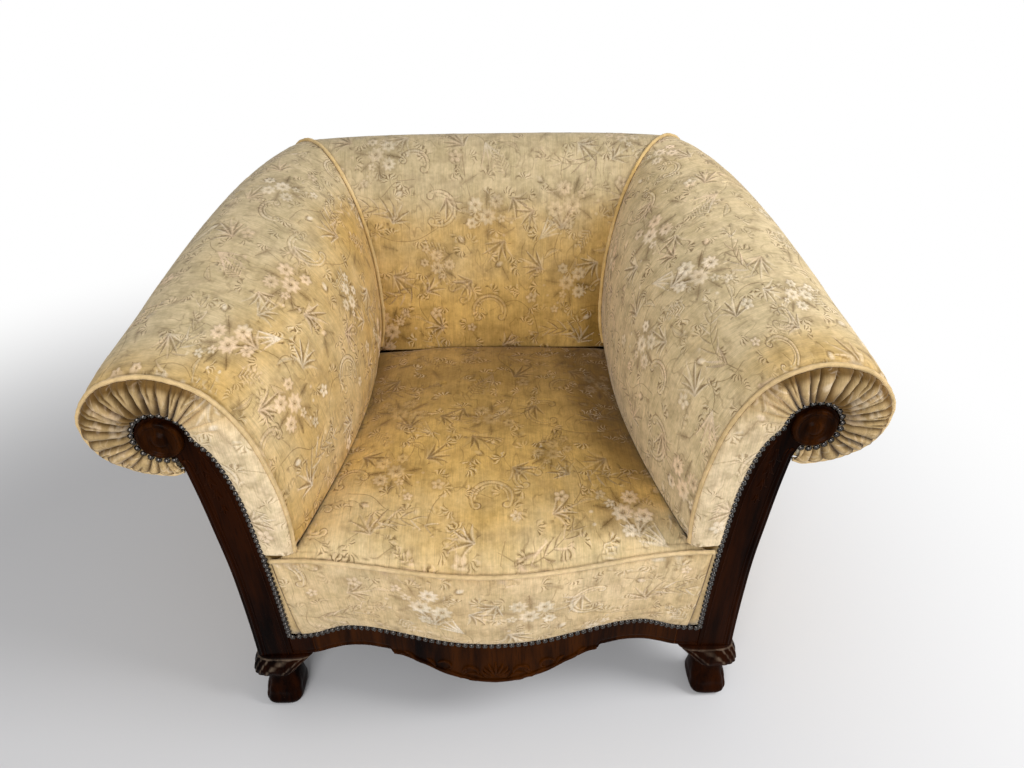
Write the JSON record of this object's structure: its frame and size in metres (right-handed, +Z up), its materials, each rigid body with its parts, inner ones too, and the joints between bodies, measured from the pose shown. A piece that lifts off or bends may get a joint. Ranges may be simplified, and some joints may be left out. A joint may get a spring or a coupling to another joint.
{
  "type": "upholstered armchair",
  "caption": "Wide bergere armchair with scrolled upholstered arms and back, deep sprung seat, carved dark show-wood front with turned roundels, serpentine rail and paw feet.",
  "frame": {"origin": "middle of the chair's plan, on the floor under its feet", "axes": "+X to the right arm as seen from the front, +Y to the back, +Z up"},
  "size_m": [1.0918, 0.8302, 0.79],
  "materials": {
    "mahogany": "dark polished mahogany, satin",
    "beech": "sawn beech, unfinished",
    "moquette": "golden cut pile with floral figure",
    "moquette_faded": "the same pile, faded to cream",
    "stuffing": "stitched fibre under calico",
    "hessian": "plain jute weave",
    "black_cotton": "plain black cotton",
    "spring_steel": "oiled wire",
    "antique_bronze": "dark antique bronze domes"
  },
  "bodies": {
    "root": {"right_arm_facing": "mahogany", "left_arm_facing": "mahogany", "right_roundel": "mahogany", "left_roundel": "mahogany", "front_rail": "mahogany", "right_front_rail_block": "mahogany", "left_front_rail_block": "mahogany", "right_front_foot": "mahogany", "left_front_foot": "mahogany", "right_arm_stump": "beech", "left_arm_stump": "beech", "right_rear_post": "beech", "left_rear_post": "beech", "inner_front_rail": "beech", "back_seat_rail": "beech", "right_side_seat_rail": "beech", "left_side_seat_rail": "beech", "right_front_corner_block": "beech", "left_front_corner_block": "beech", "right_arm_roll_rail": "beech", "left_arm_roll_rail": "beech", "back_roll_rail": "beech", "right_arm_tack_rail": "beech", "left_arm_tack_rail": "beech", "back_tack_rail": "beech", "right_arm_hessian": "hessian", "left_arm_hessian": "hessian", "back_hessian": "hessian", "front_spring_row": "spring_steel", "middle_spring_row": "spring_steel", "rear_spring_row": "spring_steel", "seat_hessian": "hessian", "bottom_cloth": "black_cotton", "seat_stuffing": "stuffing", "seat_front_stuffing": "stuffing", "right_arm_stuffing": "stuffing", "left_arm_stuffing": "stuffing", "right_arm_front_pad": "stuffing", "left_arm_front_pad": "stuffing", "back_stuffing": "stuffing", "seat_cover": "moquette", "seat_front_border": "moquette_faded", "right_seat_side_strip": "moquette_faded", "left_seat_side_strip": "moquette_faded", "right_inside_arm_cover": "moquette", "left_inside_arm_cover": "moquette", "inside_back_cover": "moquette", "right_arm_front_panel": "moquette_faded", "left_arm_front_panel": "moquette_faded", "right_outside_arm_cover": "moquette", "left_outside_arm_cover": "moquette", "outside_back_cover": "moquette", "right_arm_front_welt": "moquette", "left_arm_front_welt": "moquette", "right_back_seam_welt": "moquette", "left_back_seam_welt": "moquette", "seat_front_welt": "moquette", "right_facing_nails": "antique_bronze", "left_facing_nails": "antique_bronze", "front_rail_nails": "antique_bronze"}
  },
  "joints": []
}
